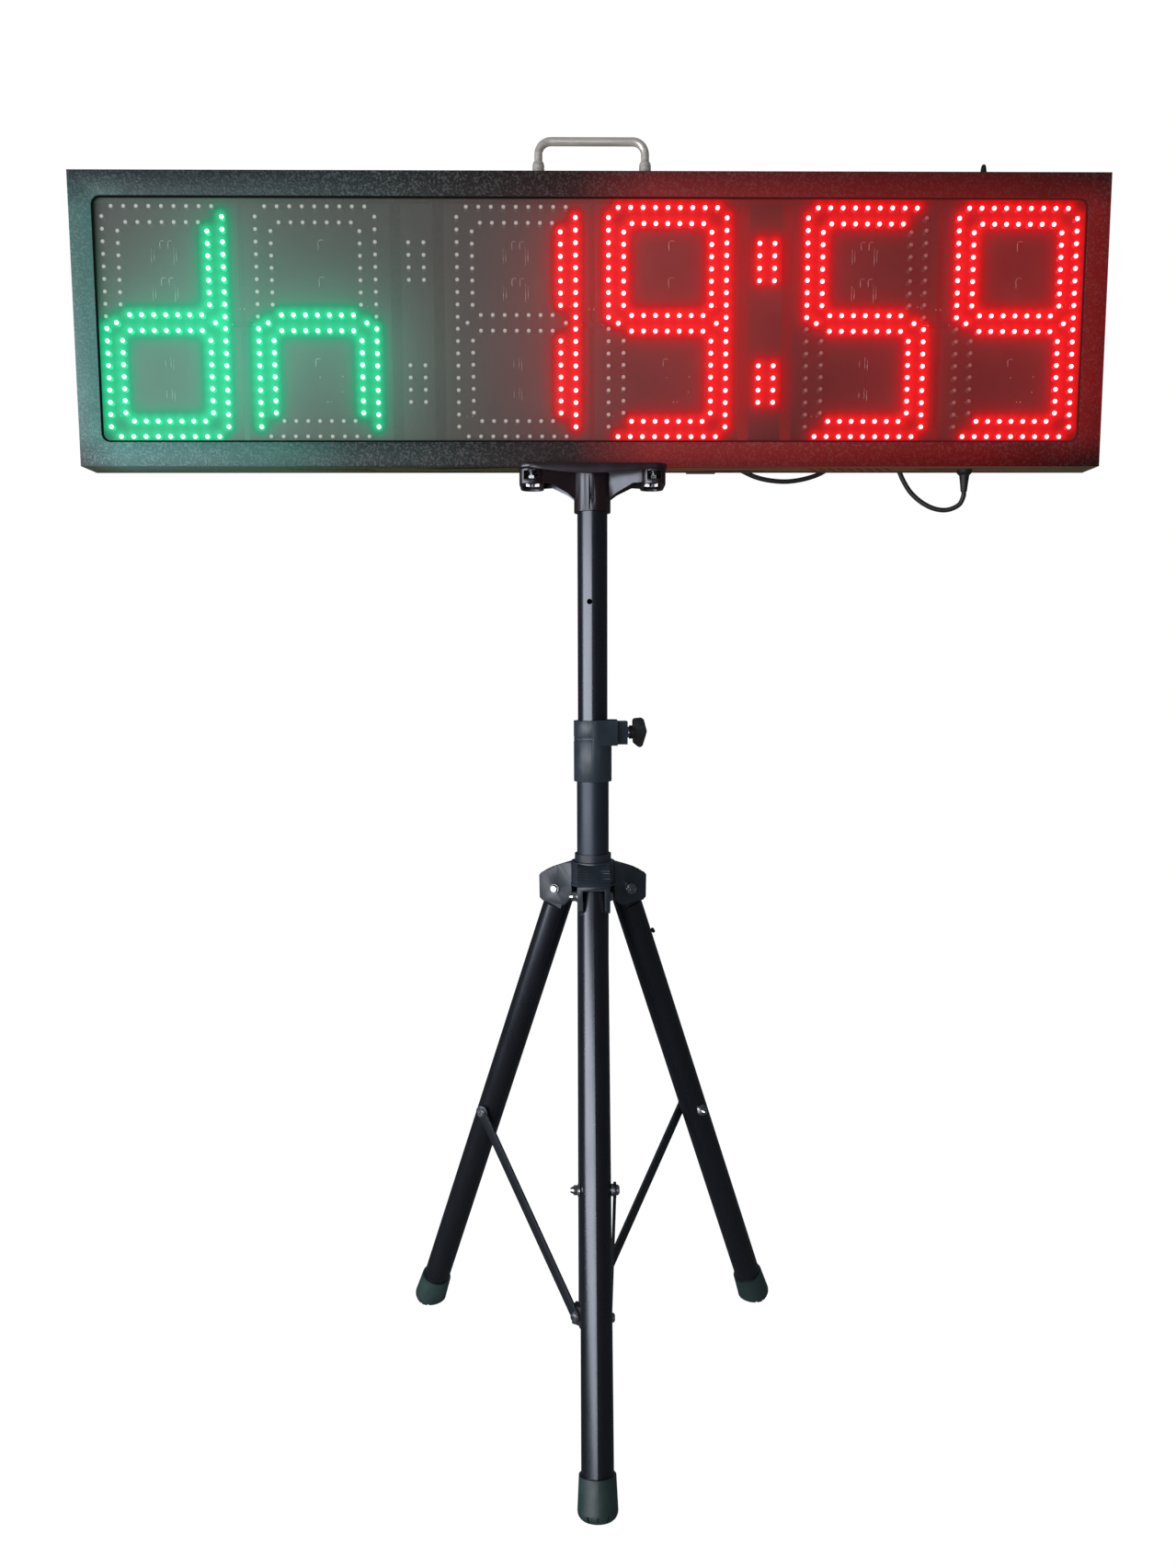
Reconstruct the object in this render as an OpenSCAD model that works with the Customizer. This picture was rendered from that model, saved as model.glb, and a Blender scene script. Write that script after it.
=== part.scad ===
// Six-digit LED race clock in a sheet-metal cabinet, on a telescopic folding tripod stand.
// Millimetres, +Z up, front face towards -Y, feet on Z = 0.

/* [Cabinet] */
// Width of the cabinet
cabinet_w = 1160; // [1150:1:1200]
// Height of the cabinet
cabinet_h = 320; // [310:1:340]
// Depth of the cabinet, front face to rear cover
cabinet_d = 40; // [38:1:60]
// Height of the cabinet's underside above the floor
cabinet_z = 1090; // [1080:1:1100]
// Thickness of the cabinet's sheet metal
sheet = 1.2; // [1:0.1:2]
// Width of the window opening
window_w = 1110; // [1100:1:1120]
// Height of the window opening
window_h = 266; // [262:1:270]
// Corner radius of the window opening
window_r = 10; // [6:1:14]
// Thickness of the smoked window
window_t = 3; // [2:0.5:4]

/* [Digits] */
// Height of a digit between its outer rows of LEDs
digit_h = 250; // [240:1:252]
// Width of a digit between its outer columns of LEDs
digit_w = 133.3; // [128:0.1:136]
// Distance between the two digits of a pair
pair_pitch = 170.5; // [168:0.5:172]
// Distance between neighbouring pairs of digits
group_pitch = 395.4; // [392:0.2:398]
// Diameter of an LED
led_d = 5; // [4:0.5:5.5]
// Height of an LED above its board
led_h = 8.6; // [7:0.1:8.8]
// Segments lit on each digit, left to right
shown = ["bcdeg", "ceg", "bc", "abcdfg", "acdfg", "abcdfg"];

/* [Handle] */
// Distance between the handle's two legs
handle_span = 120; // [100:5:160]
// Height of the handle above the cabinet
handle_h = 44; // [40:1:60]
// Diameter of the handle's rod
handle_d = 9; // [8:0.5:10]

/* [Bracket] */
// Width of the mounting bracket's plate
bracket_w = 168; // [150:1:190]
// Depth of the mounting bracket's plate
bracket_d = 84; // [70:1:90]
// Depth of the lobes at the bracket's ends
bracket_h = 20; // [18:1:26]
// Length of the bracket's sleeve below the cabinet
sleeve_l = 49; // [44:1:60]

/* [Mast] */
// Diameter of the upper mast tube
upper_d = 35; // [35:1:35]
// Diameter of the lower mast tube
lower_d = 38; // [38:1:38]
// Length of the upper mast tube
upper_l = 699; // [500:1:710]
// Top of the mast collar
collar_top = 800; // [780:1:820]
// Length of the mast collar
collar_l = 72; // [66:1:80]

/* [Tripod] */
// Height of the leg pivots in the open tripod
pivot_z = 596.5; // [590:0.5:600]
// Distance of the leg pivots from the mast axis
pivot_r = 42; // [42:0.5:43]
// Angle of an open leg from the vertical
leg_splay = 20; // [18:0.5:20]
// Diameter of the leg tubes
leg_d = 34; // [33:0.5:34]
// Distance along a leg from its pivot to the strut
strut_at = 322; // [300:1:360]
// Height of the struts' lower pivots
spider_z = 58; // [54:1:60]
// Distance of the struts' lower pivots from the mast axis
spider_r = 14; // [14:0.5:15]
// Largest radius of a rubber foot
foot_r = 21; // [20:0.5:21]

/* [Hidden] */
$fn = 48;

FRONT = 0;
RIGHT = 1;
LEFT = 2;
leg_azimuth = [-90, 30, 150];

// Tripod geometry, worked out from the pivots
foot_z = foot_r - 8;
foot_sleeve = 24;
foot_sole = 17;
foot_corner = 9;
leg_l = (pivot_z - foot_z) / cos(leg_splay);
foot_circle_r = pivot_r + leg_l * sin(leg_splay);
mast_y = foot_circle_r / 4;
strut_top_r = pivot_r + strut_at * sin(leg_splay);
strut_top_z = pivot_z - strut_at * cos(leg_splay);
strut_lean = atan2(strut_top_r - spider_r, strut_top_z - spider_z);
strut_l = norm([strut_top_r - spider_r, strut_top_z - spider_z]);

// Tripod details
tube_wall = 1.2;
leg_r = leg_d / 2;
leg_above = 8;
slot_half = 12.2;
slot_l = 23.2;
cheek_in = 12.6;
cheek_out = 19;
bolt_r = 3;
bolt_gap = 0.05;
strut_t = 3;
strut_in = 19.5;
strut_w = 12;
strut_eye_r = 8.5;
lug_face = 19.3;
barrel_r = 26;
bush_r = 20.9;
slide_gap = 0.25;

// Mast details
upper_r = upper_d / 2;
lower_r = lower_d / 2;
lower_bottom = 78;
lower_top = collar_top - 5;
upper_top = cabinet_z - 6;
upper_bottom = upper_top - upper_l;
collar_r = 22.5;
clamp_z = collar_top - 14;
clamp_x = 41;
pad_r = 6;
sleeve_r = 21.2;

// Cabinet details: depths are counted back from the front face
front_y = mast_y - cabinet_d / 2;
rear_y = mast_y + cabinet_d / 2;
top_z = cabinet_z + cabinet_h;
mid_z = cabinet_z + cabinet_h / 2;
inner_back = cabinet_d - sheet;
lip = 15;
gasket_t = 1;
gasket_lip = 2;
window_from = sheet + gasket_t;
led_tip = window_from + window_t + 2;
board_from = led_tip + led_h;
board_t = 1.6;
board_w = 164;
board_h = 262;
colon_w = 36;
colon_x = group_pitch / 2;
screw_x = [-550, -320, -90, 90, 320, 550];
screw_in = 8;

// LED layout: a digit has an outer and an inner line of LEDs in each segment
outer_x = digit_w / 2;
inner_x = outer_x - 17;
outer_z = digit_h / 2;
inner_z = outer_z - 17.1;
middle_z = 8.5;
digit_x = [for (g = [-1, 0, 1], side = [-0.5, 0.5]) g * group_pitch + side * pair_pitch];
function row_leds(z, n, pitch) = [for (i = [0 : n - 1]) [(i - (n - 1) / 2) * pitch, z]];
function column_leds(x, from, n, pitch) = [for (i = [0 : n - 1]) [x, sign(from) * (abs(from) + i * pitch)]];
function side_leds(sx, sz) = concat(
    column_leds(sx * outer_x, sz * 6.5, 9, 13.45), column_leds(sx * inner_x, sz * 19.45, 7, 13.2));
function segment_leds(name) =
    name == "a" ? concat(row_leds(outer_z, 9, 13.95), row_leds(inner_z, 7, 13.45)) :
    name == "b" ? side_leds(1, 1) :
    name == "c" ? side_leds(1, -1) :
    name == "d" ? concat(row_leds(-outer_z, 9, 13.95), row_leds(-inner_z, 7, 13.45)) :
    name == "e" ? side_leds(-1, -1) :
    name == "f" ? side_leds(-1, 1) :
    concat(row_leds(middle_z, 7, 13.5), row_leds(-middle_z, 7, 13.5), [[-55.6, 0], [55.6, 0]]);
function is_lit(digit, name) = len(search(name, shown[digit])) > 0;
function colon_leds(x) = [for (up = [-1, 1], sx = [-1, 1], i = [0 : 3]) [x + sx * 8.5, up * 66.65 + (i - 1.5) * 13.45]];

// Route of the power lead's middle: across, back from the mast axis, and height above the floor
lead_r = 2.75;
lead_route = [
    [434, 4, 1066], [434, 5, 1060], [430, 8, 1051], [418, 12, 1046], [404, 16, 1048], [390, 20, 1056],
    [378, 24, 1068], [369, 25, 1082], [362, 25, 1096], [351, 25, 1109], [337, 25, 1116], [323, 25, 1118],
    [309, 25, 1116], [296, 25, 1109], [284, 25, 1099], [270, 25, 1090], [252, 25, 1084], [232, 25, 1081],
    [212, 25, 1082], [194, 25, 1086], [178, 25, 1093], [164, 25, 1100], [150, 25, 1103]
];

// ---------- placing ----------

module at_mast() {
    translate([0, mast_y, 0])
        children();
}

// Local +X runs out along the leg's azimuth, +Y runs counter-clockwise seen from above.
module at_azimuth(k) {
    at_mast()
        rotate([0, 0, leg_azimuth[k]])
            children();
}

// Origin on the leg pivot, the open leg runs down -Z.
module at_leg(k) {
    at_azimuth(k)
        translate([pivot_r, 0, pivot_z])
            rotate([0, -leg_splay, 0])
                children();
}

// Origin on the strut's lower pivot, the open strut runs up +Z.
module at_strut(k) {
    at_azimuth(k)
        translate([spider_r, 0, spider_z])
            rotate([0, strut_lean, 0])
                children();
}

// Cabinet frame: X from the middle, Y back from the front face, Z from mid-height.
module in_cabinet() {
    translate([0, front_y, mid_z])
        children();
}

// A cylinder along +Y from y = from to y = to
module rod_y(r, from, to) {
    translate([0, from, 0])
        rotate([-90, 0, 0])
            cylinder(r = r, h = to - from);
}

// A cylinder along +X from x = from to x = to
module rod_x(r, from, to) {
    translate([from, 0, 0])
        rotate([0, 90, 0])
            cylinder(r = r, h = to - from);
}

module tube(outer, inner, from, to) {
    translate([0, 0, from])
        difference() {
            cylinder(r = outer, h = to - from);
            translate([0, 0, -1])
                cylinder(r = inner, h = to - from + 2);
        }
}

// Flat panel facing -Y, with rounded corners, from y = from over a thickness t
module panel(w, h, r, from, t) {
    translate([0, from + t, 0])
        rotate([90, 0, 0])
            linear_extrude(t)
                rounded_outline(w, h, r);
}

// Rectangle with rounded corners, built from arcs
module rounded_outline(w, h, r) {
    square([w - 2 * r, h], center = true);
    square([w, h - 2 * r], center = true);
    for (sx = [-1, 1], sy = [-1, 1])
        translate([sx * (w / 2 - r), sy * (h / 2 - r)])
            circle(r = r);
}

// ---------- cabinet ----------

module front_frame() {
    color("#1d1f22")
        in_cabinet()
            difference() {
                translate([-cabinet_w / 2, 0, -cabinet_h / 2])
                    cube([cabinet_w, inner_back, cabinet_h]);
                translate([-cabinet_w / 2 + sheet, sheet, -cabinet_h / 2 + sheet])
                    cube([cabinet_w - 2 * sheet, inner_back - 2 * sheet, cabinet_h - 2 * sheet]);
                translate([-cabinet_w / 2 + lip, inner_back - 2 * sheet, -cabinet_h / 2 + lip])
                    cube([cabinet_w - 2 * lip, 4 * sheet, cabinet_h - 2 * lip]);
                panel(window_w, window_h, window_r, -1, sheet + 2);
                rear_screw_places()
                    rod_y(1.9, inner_back - 3, cabinet_d);
                underside_vents();
                for (sx = [-1, 1])
                    translate([sx * handle_span / 2, cabinet_d / 2, cabinet_h / 2 - 5])
                        cylinder(r = 2.7, h = 10);
                translate([antenna_x, antenna_back, cabinet_h / 2 - 5])
                    cylinder(r = 3.1, h = 10);
                bracket_bolt_places()
                    translate([0, cabinet_d / 2, -cabinet_h / 2 - 5])
                        cylinder(r = bolt_r + 0.2, h = 10);
                translate([lead_route[0][0], cabinet_d / 2 + lead_route[0][1], -cabinet_h / 2 - 5])
                    cylinder(r = 6, h = 10);
            }
}

module rear_screw_places() {
    for (x = screw_x, sz = [-1, 1])
        translate([x, 0, sz * (cabinet_h / 2 - screw_in)])
            children();
    for (sx = [-1, 1])
        translate([sx * (cabinet_w / 2 - screw_in), 0, 0])
            children();
}

// Two groups of nine slanted slots in the underside
vent_x = 300;
vent_pitch = 11;
module underside_vents() {
    for (side = [-1, 1], i = [-4 : 4])
        translate([side * vent_x + i * vent_pitch, cabinet_d / 2 + 1, -cabinet_h / 2])
            rotate([0, 0, 45])
                cube([16, 3.2, 8], center = true);
}

module rear_cover() {
    color("#1b1c1f")
        in_cabinet()
            difference() {
                translate([-cabinet_w / 2, inner_back, -cabinet_h / 2])
                    cube([cabinet_w, sheet, cabinet_h]);
                rear_screw_places()
                    rod_y(2.1, cabinet_d - 3, cabinet_d + 1);
            }
}

module rear_cover_screws() {
    color("#9a9da0")
        in_cabinet()
            rear_screw_places() {
                rod_y(1.9, inner_back - sheet, cabinet_d + 0.5);
                rod_y(4, cabinet_d, cabinet_d + 2);
            }
}

module window() {
    color([0.12, 0.11, 0.11, 0.6])
        in_cabinet()
            panel(window_w + 24, window_h + 24, 6, window_from, window_t);
}

module window_gasket() {
    color("#0b0b0c")
        in_cabinet()
            difference() {
                panel(window_w + 20, window_h + 20, 8, sheet, gasket_t);
                panel(window_w - 2 * gasket_lip, window_h - 2 * gasket_lip, window_r - gasket_lip, 0, 10);
            }
}

// ---------- digits ----------

module digit_board(k) {
    color("#15181a")
        in_cabinet()
            translate([digit_x[k], 0, 0])
                panel(board_w, board_h, 3, board_from, board_t);
}

module colon_boards() {
    color("#15181a")
        in_cabinet()
            for (sx = [-1, 1])
                translate([sx * colon_x, 0, 0])
                    panel(colon_w, board_h, 3, board_from, board_t);
}

module leds(places, x) {
    for (p = places)
        translate([x + p[0], 0, p[1]])
            rod_y(led_d / 2, led_tip, board_from);
}

module digit_leds(digits, lit) {
    for (k = digits, name = ["a", "b", "c", "d", "e", "f", "g"])
        if (is_lit(k, name) == lit)
            leds(segment_leds(name), digit_x[k]);
}

module leds_green() {
    color("#30f0a8")
        in_cabinet()
            digit_leds([0, 1], true);
}

module leds_red() {
    color("#ff2030")
        in_cabinet() {
            digit_leds([2 : 5], true);
            leds(colon_leds(0), colon_x);
        }
}

module leds_unlit() {
    color("#c8cfca")
        in_cabinet() {
            digit_leds([0 : 5], false);
            leds(colon_leds(0), -colon_x);
        }
}

// Posts that hold the boards off the rear cover
module board_standoffs() {
    color("#b9bcc0")
        in_cabinet() {
            for (x = digit_x, sx = [-1, 1], sz = [-1, 1])
                translate([x + sx * (board_w / 2 - 6), 0, sz * (board_h / 2 - 6)])
                    rod_y(3, board_from + board_t, inner_back);
            for (x = [-colon_x, colon_x], sz = [-1, 1])
                translate([x, 0, sz * (board_h / 2 - 6)])
                    rod_y(3, board_from + board_t, inner_back);
        }
}

// Pin headers that join the two boards of each pair at mid-height
module board_links() {
    color("#1a1a1a")
        in_cabinet()
            for (g = [-1, 0, 1])
                translate([g * group_pitch - 11, board_from - 2.5, -3])
                    cube([22, 2.5, 6]);
}

module controller_board() {
    color("#1d5a36")
        in_cabinet() {
            translate([-55, inner_back - 8, -45])
                cube([110, 1.6, 70]);
            translate([-40, inner_back - 11, -30])
                cube([16, 3, 16]);
            translate([5, inner_back - 14, -36])
                cube([12, 6, 44]);
            for (sx = [-1, 1], z = [-38, 18])
                translate([sx * 48, 0, z])
                    rod_y(2.5, inner_back - 6.4, inner_back);
        }
}

module power_supply() {
    color("#a6a9ac")
        in_cabinet() {
            difference() {
                translate([400, inner_back - 18, -110])
                    cube([120, 18, 82]);
                for (i = [0 : 7])
                    translate([412 + i * 11, inner_back - 19, -96])
                        cube([4, 4, 54]);
            }
        }
}

// ---------- handle and antenna ----------

module carry_handle() {
    bend_r = 14;
    reach = handle_h - handle_d / 2;
    color("#b9b3aa")
        translate([0, mast_y, top_z]) {
            difference() {
                for (sx = [-1, 1])
                    translate([sx * handle_span / 2, 0, 0])
                        cylinder(r = handle_d / 2, h = reach - bend_r);
                for (sx = [-1, 1])
                    translate([sx * handle_span / 2, 0, -1])
                        cylinder(r = 2.1, h = 14);
            }
            for (sx = [0, 1])
                mirror([sx, 0, 0])
                    translate([handle_span / 2 - bend_r, 0, reach - bend_r])
                        rotate([90, 0, 0])
                            rotate_extrude(angle = 90)
                                translate([bend_r, 0])
                                    circle(r = handle_d / 2);
            translate([0, 0, reach])
                rod_x(handle_d / 2, -handle_span / 2 + bend_r, handle_span / 2 - bend_r);
        }
}

module handle_ferrules() {
    color("#a9a49b")
        translate([0, mast_y, top_z])
            for (sx = [-1, 1])
                translate([sx * handle_span / 2, 0, 0])
                    rotate_extrude()
                        polygon([
                            [handle_d / 2, 0], [9, 0], [9, 2], [6.6, 4], [6.6, 14], [5.6, 17], [handle_d / 2, 17]
                        ]);
}

module handle_screws() {
    color("#8f9295")
        translate([0, mast_y, top_z - sheet])
            for (sx = [-1, 1])
                translate([sx * handle_span / 2, 0, 0]) {
                    translate([0, 0, -3.5])
                        cylinder(r = 4.6, h = 3.5);
                    cylinder(r = 2.05, h = 11);
                }
}

antenna_x = 447;
antenna_back = 31;
module remote_antenna() {
    color("#101113")
        translate([antenna_x, front_y + antenna_back, top_z]) {
            translate([0, 0, -6])
                cylinder(r = 3, h = 6);
            cylinder(r = 6, h = 3, $fn = 6);
            rotate_extrude()
                polygon([[0, 3], [4.2, 3], [4, 8], [3, 17], [2.4, 20], [1.4, 21.2], [0, 21.5]]);
            translate([0, 0, -sheet - 3])
                cylinder(r = 5.5, h = 3, $fn = 6);
        }
}

// ---------- power lead ----------

function along(p, i, t) =
    let (a = p[max(i - 1, 0)], b = p[i], c = p[i + 1], d = p[min(i + 2, len(p) - 1)])
    0.5 * (2 * b + (c - a) * t + (2 * a - 5 * b + 4 * c - d) * t * t + (3 * b - a - 3 * c + d) * t * t * t);
function smooth(p, n) = concat([for (i = [0 : len(p) - 2], j = [0 : n - 1]) along(p, i, j / n)], [p[len(p) - 1]]);
function unit(v) = v / norm(v);
function heading(p, i) = unit(p[min(i + 1, len(p) - 1)] - p[max(i - 1, 0)]);
function ring(c, h, r, n) =
    let (u = unit(cross(h, [0, 1, 0])), v = cross(u, h))
    [for (j = [0 : n - 1]) c + r * (cos(360 * j / n) * u + sin(360 * j / n) * v)];

module swept_lead(p, r, n) {
    last = len(p) - 1;
    sides = [
        for (i = [0 : last - 1], j = [0 : n - 1])
            [i * n + j, i * n + (j + 1) % n, (i + 1) * n + (j + 1) % n, (i + 1) * n + j]
    ];
    ends = [[for (j = [n - 1 : -1 : 0]) j], [for (j = [0 : n - 1]) last * n + j]];
    polyhedron(points = [for (i = [0 : last]) each ring(p[i], heading(p, i), r, n)], faces = concat(sides, ends));
}

module power_lead() {
    color("#121212")
        at_mast()
            swept_lead(smooth(lead_route, 3), lead_r, 10);
}

// Rubber strain relief in the underside, with a flange inside and outside
module lead_boot() {
    start = lead_route[0];
    drop = cabinet_z - start[2];
    color("#141414")
        translate([start[0], mast_y + start[1], cabinet_z])
            rotate_extrude()
                polygon([
                    [0, -drop], [3.6, -drop], [4.2, -drop + 6], [5.6, -6], [8.5, -3], [8.5, 0],
                    [5.9, 0], [5.9, sheet], [8, sheet], [8, sheet + 2.5], [0, sheet + 2.5]
                ]);
}

// Clip on the rear cover that holds the top of the lead's bow
module lead_clip() {
    x = 323;
    z = 1118;
    back = cabinet_d / 2;
    color("#17181a")
        at_mast()
            translate([x, 0, z]) {
                difference() {
                    union() {
                        translate([0, lead_route[11][1], 0])
                            rod_x(5, -4, 4);
                        translate([-4, back, 0])
                            cube([8, 3, 18]);
                    }
                    translate([0, lead_route[11][1], 0])
                        rod_x(3.5, -5, 5);
                    translate([-5, 0, -10])
                        cube([10, back, 30]);
                }
                translate([0, 0, 12])
                    rod_y(3.2, back + 3, back + 5);
            }
}

// Socket housing on the rear cover where the lead goes back in
module lead_inlet() {
    last = lead_route[len(lead_route) - 1];
    color("#151618")
        at_mast()
            translate([last[0], cabinet_d / 2, last[2]]) {
                translate([-38, 0, -12])
                    cube([34, 13, 24]);
                translate([0, last[1] - cabinet_d / 2, 0])
                    rod_x(4.4, -4, 0);
            }
}

// ---------- mounting bracket ----------

module bracket_bolt_places() {
    for (sx = [-1, 1], sy = [-1, 1])
        translate([sx * 70, sy * 11, 0])
            children();
}

module mount_bracket() {
    plate_t = 4;
    color("#17181b")
        at_mast()
            translate([0, 0, cabinet_z])
                difference() {
                    union() {
                        translate([0, 0, -plate_t])
                            linear_extrude(plate_t)
                                rounded_outline(bracket_w, bracket_d, 14);
                        for (sy = [-1, 1])
                            translate([0, sy * (bracket_d / 2 - 2), 0])
                                bracket_lip(plate_t);
                        for (sx = [-1, 1])
                            translate([sx * (bracket_w / 2 - 14), 0, -bracket_h])
                                linear_extrude(bracket_h - plate_t / 2)
                                    bracket_lobe();
                        bracket_bolt_places()
                            translate([0, 0, -boss_h])
                                cylinder(r = 7.5, h = boss_h - plate_t + 1);
                        for (a = [20, -20, 160, -160])
                            rotate([0, 0, a])
                                bracket_rib(plate_t);
                        translate([0, 0, -sleeve_l])
                            cylinder(r = sleeve_r, h = sleeve_l - plate_t + 1.5);
                    }
                    translate([0, 0, -sleeve_l - 1])
                        cylinder(r = upper_r + bolt_gap, h = sleeve_l - 4);
                    bracket_bolt_places()
                        translate([0, 0, -boss_h - 1])
                            cylinder(r = bolt_r + 0.1, h = boss_h + 2);
                    for (sx = [-1, 1])
                        translate([sx * (bracket_w / 2 - 14) - 8, -bracket_d / 2, -bracket_h + 5])
                            cube([16, bracket_d, bracket_h - 5 - plate_t - 2]);
                    translate([0, 0, set_screw_z - cabinet_z])
                        rod_y(2.6, -sleeve_r - 1, 0);
                }
}

// Lip along a long edge of the plate, deepest in the middle
module bracket_lip(plate_t) {
    lip_half = 66;
    lip_end = 5.5;
    lip_middle = 11;
    steps = 16;
    rotate([90, 0, 0])
        linear_extrude(4, center = true)
            polygon(concat(
                [[-lip_half, -plate_t / 2]],
                [for (i = [-steps : steps])
                    [lip_half * i / steps, -lip_middle + (lip_middle - lip_end) * pow(i / steps, 2)]],
                [[lip_half, -plate_t / 2]]
            ));
}

// Outline of the U-shaped wall round the bolts at one end of the bracket
module bracket_lobe() {
    difference() {
        rounded_outline(27, lobe_d, 11);
        rounded_outline(20, lobe_d - 7, 7.5);
    }
}

module bracket_rib(plate_t) {
    rotate([90, 0, 0])
        linear_extrude(4, center = true)
            polygon([
                [sleeve_r - 2, -plate_t + 0.6], [61, -plate_t + 0.6], [61, -bracket_h + 2],
                [50, -bracket_h + 2], [30, -28], [sleeve_r - 2, -36]
            ]);
}

boss_h = 9;
lobe_d = 58;
module bracket_bolts() {
    color("#c9cbcd")
        at_mast()
            bracket_bolt_places()
                translate([0, 0, cabinet_z]) {
                    translate([0, 0, -boss_h - 5])
                        cylinder(r = 5.8, h = 5, $fn = 6);
                    translate([0, 0, -boss_h - 9])
                        cylinder(r = bolt_r, h = boss_h + 19);
                    difference() {
                        translate([0, 0, sheet])
                            cylinder(r = 5.8, h = 5, $fn = 6);
                        cylinder(r = bolt_r + 0.05, h = 20);
                    }
                }
}

set_screw_z = cabinet_z - 33.5;
module bracket_set_screw() {
    color("#3a3c3f")
        at_mast()
            translate([0, 0, set_screw_z])
                rod_y(2.55, -sleeve_r + 0.8, -upper_r - 0.1);
}

// ---------- mast ----------

module upper_tube() {
    color("#101216")
        at_mast()
            difference() {
                tube(upper_r, upper_r - 1.5, upper_bottom, upper_top);
                translate([0, 0, cabinet_z - 152])
                    rotate([0, 0, -12])
                        rod_y(3.2, -upper_r - 2, 0);
            }
}

// Plastic bush that guides the foot of the upper tube inside the lower one
module guide_bush() {
    inner_r = lower_r - tube_wall;
    color("#26272a")
        at_mast() {
            tube(inner_r - 0.1, 11, upper_bottom - 14, upper_bottom);
            tube(upper_r - 1.6, 11, upper_bottom, upper_bottom + 16);
        }
}

module lower_tube() {
    color("#101216")
        at_mast()
            difference() {
                tube(lower_r, lower_r - tube_wall, lower_bottom, lower_top);
                translate([0, 0, clamp_z])
                    rod_x(pad_r + 0.3, 10, 30);
            }
}

module mast_collar() {
    color("#1a1c20")
        at_mast()
            difference() {
                union() {
                    translate([0, 0, collar_top - collar_l])
                        cylinder(r = collar_r, h = collar_l);
                    translate([0, -21.5, collar_top - 29])
                        cube([29, 43, 29.5]);
                    translate([29, -13, collar_top - 28])
                        cube([clamp_x - 29, 26, 27]);
                }
                translate([0, 0, collar_top - collar_l - 1])
                    cylinder(r = lower_r, h = lower_top - collar_top + collar_l + 1);
                translate([0, 0, lower_top - 1])
                    cylinder(r = upper_r + bolt_gap, h = 10);
                for (z = [collar_top - 20, collar_top - 24])
                    tube_groove(z);
                translate([0, 0, clamp_z])
                    rod_x(4.1, 15, clamp_x + 1);
                translate([0, 0, clamp_z])
                    rod_x(pad_r + 0.1, 15, 22);
            }
}

// Shallow ring groove round the left side of the collar
module tube_groove(z) {
    difference() {
        tube(collar_r + 1, collar_r - 0.6, z, z + 1);
        translate([0, -30, z - 1])
            cube([40, 60, 3]);
    }
}

module clamp_pad() {
    color("#c8a24a")
        at_mast()
            translate([0, 0, clamp_z])
                rod_x(pad_r, upper_r + 0.1, 21.5);
}

module knob_screw() {
    color("#b9bcc0")
        at_mast()
            translate([0, 0, clamp_z]) {
                rod_x(4, 21.6, 46);
                rod_x(6.5, clamp_x + 0.4, 43);
            }
}

// Wing knob: a thick paddle with rounded ends on a short hub
module wing_knob() {
    color("#121316")
        at_mast()
            translate([0, 0, clamp_z])
                difference() {
                    union() {
                        rod_x(8, 43, 50);
                        rotate([90, 0, 0])
                            linear_extrude(11, center = true)
                                hull() {
                                    translate([50.5, 13])
                                        circle(r = 3.5);
                                    translate([56.5, 12.5])
                                        circle(r = 4.5);
                                    translate([59, 1])
                                        circle(r = 5);
                                    translate([55.5, -13.5])
                                        circle(r = 4.2);
                                    translate([50.5, -11])
                                        circle(r = 3);
                                }
                    }
                    rod_x(4, 42, 46);
                }
}

// Block on the lower end of the mast that carries the struts
module spider() {
    color("#15171a")
        at_mast()
            difference() {
                union() {
                    translate([0, 0, 40])
                        cylinder(r = lower_r, h = lower_bottom - 40);
                    translate([0, 0, lower_bottom])
                        cylinder(r = lower_r - tube_wall, h = 20);
                    for (k = [FRONT, RIGHT, LEFT])
                        rotate([0, 0, leg_azimuth[k]])
                            translate([0, 8, 46])
                                cube([20.5, lug_face - 8, 24]);
                }
                translate([0, 0, 39])
                    cylinder(r = 6, h = 20);
                for (k = [FRONT, RIGHT, LEFT])
                    rotate([0, 0, leg_azimuth[k]])
                        translate([spider_r, 0, spider_z])
                            rod_y(bolt_r, 6, lug_face + 1);
            }
}

module strut_pivot_bolts() {
    head_at = strut_in + strut_t + 0.2;
    color("#cfd1d3")
        for (k = [FRONT, RIGHT, LEFT])
            at_azimuth(k)
                translate([spider_r, 0, spider_z]) {
                    rod_y(bolt_r, 6, head_at);
                    bolt_head(head_at);
                }
}

// Low round bolt head that stands off +Y
module bolt_head(from) {
    rod_y(5.6, from, from + 2);
    translate([0, from + 2, 0])
        rotate([-90, 0, 0])
            cylinder(r1 = 5.4, r2 = 3.6, h = 1.6);
}

// Closed nut that points towards -Y
module acorn_nut(from) {
    rod_y(6.6, from - 1.2, from);
    translate([0, from - 1.2, 0])
        rotate([90, 0, 0])
            cylinder(r = 5.7, h = 4.2, $fn = 6);
    translate([0, from - 5.4, 0])
        rotate([90, 0, 0])
            cylinder(r1 = 4.4, r2 = 2.4, h = 3.8);
}

// ---------- hub ----------

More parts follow.
